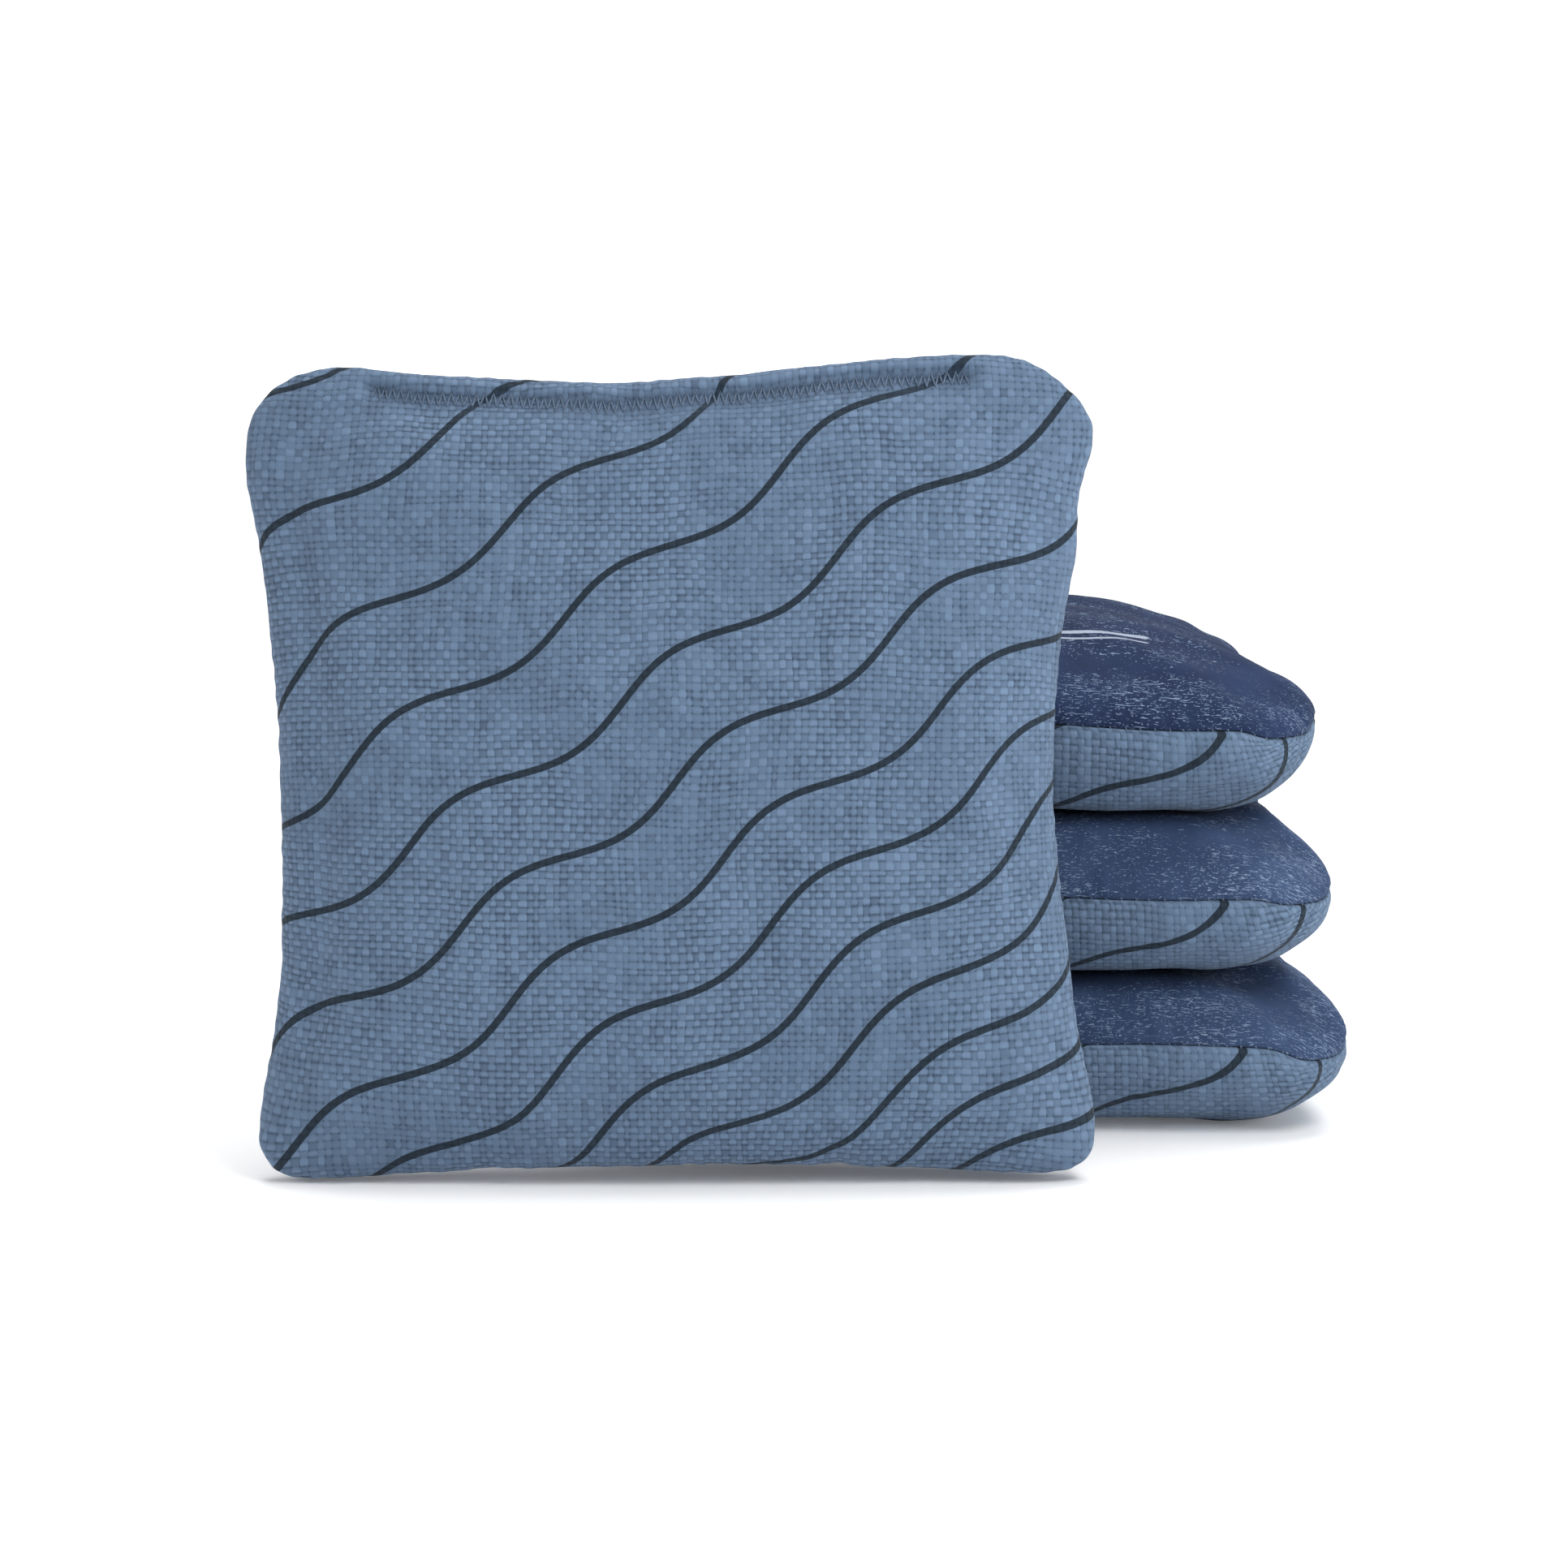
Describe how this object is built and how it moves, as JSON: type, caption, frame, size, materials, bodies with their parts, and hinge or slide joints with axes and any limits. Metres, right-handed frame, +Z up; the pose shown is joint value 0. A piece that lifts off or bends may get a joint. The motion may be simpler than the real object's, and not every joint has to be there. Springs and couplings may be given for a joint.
{
  "type": "cornhole bag set",
  "caption": "Set of square two-sided throwing bags for the bag-toss lawn game: a flat stack, navy side up, with one more bag standing on edge and leaning on it.",
  "frame": {"origin": "on the ground, under the middle of the whole set's bounding box", "axes": "+X to the right and +Y away, as seen from the side where the standing bag shows its printed woven face; +Z up"},
  "size_m": [0.2044, 0.1872, 0.1463],
  "materials": {
    "woven_fabric": "coarse slubby plain weave in dusty blue, printed with dark line art",
    "navy_fabric": "close smooth weave in navy with a worn print of fine pale horizontal flecks",
    "pellets": "loose off-white resin pellets",
    "thread": "pale blue polyester sewing thread"
  },
  "bodies": {
    "bottom_bag": {"bottom_bag_woven_panel": "woven_fabric", "bottom_bag_navy_panel": "navy_fabric", "bottom_bag_pellet_fill": "pellets", "bottom_bag_seam_thread": "thread", "bottom_bag_closing_stitch": "thread"},
    "middle_bag": {"middle_bag_woven_panel": "woven_fabric", "middle_bag_navy_panel": "navy_fabric", "middle_bag_pellet_fill": "pellets", "middle_bag_seam_thread": "thread", "middle_bag_closing_stitch": "thread"},
    "top_bag": {"top_bag_woven_panel": "woven_fabric", "top_bag_navy_panel": "navy_fabric", "top_bag_pellet_fill": "pellets", "top_bag_seam_thread": "thread", "top_bag_closing_stitch": "thread"},
    "front_bag": {"front_bag_woven_panel": "woven_fabric", "front_bag_navy_panel": "navy_fabric", "front_bag_pellet_fill": "pellets", "front_bag_seam_thread": "thread", "front_bag_closing_stitch": "thread"}
  },
  "joints": [
    {"name": "middle_bag_lift", "type": "slide", "parent": "bottom_bag", "child": "middle_bag", "axis": [0, 0, 1], "range_m": [0, 0.15]},
    {"name": "top_bag_lift", "type": "slide", "parent": "middle_bag", "child": "top_bag", "axis": [0, 0, 1], "range_m": [0, 0.15]},
    {"name": "front_bag_lift", "type": "slide", "parent": "bottom_bag", "child": "front_bag", "axis": [0, 0, 1], "range_m": [0, 0.18]}
  ]
}
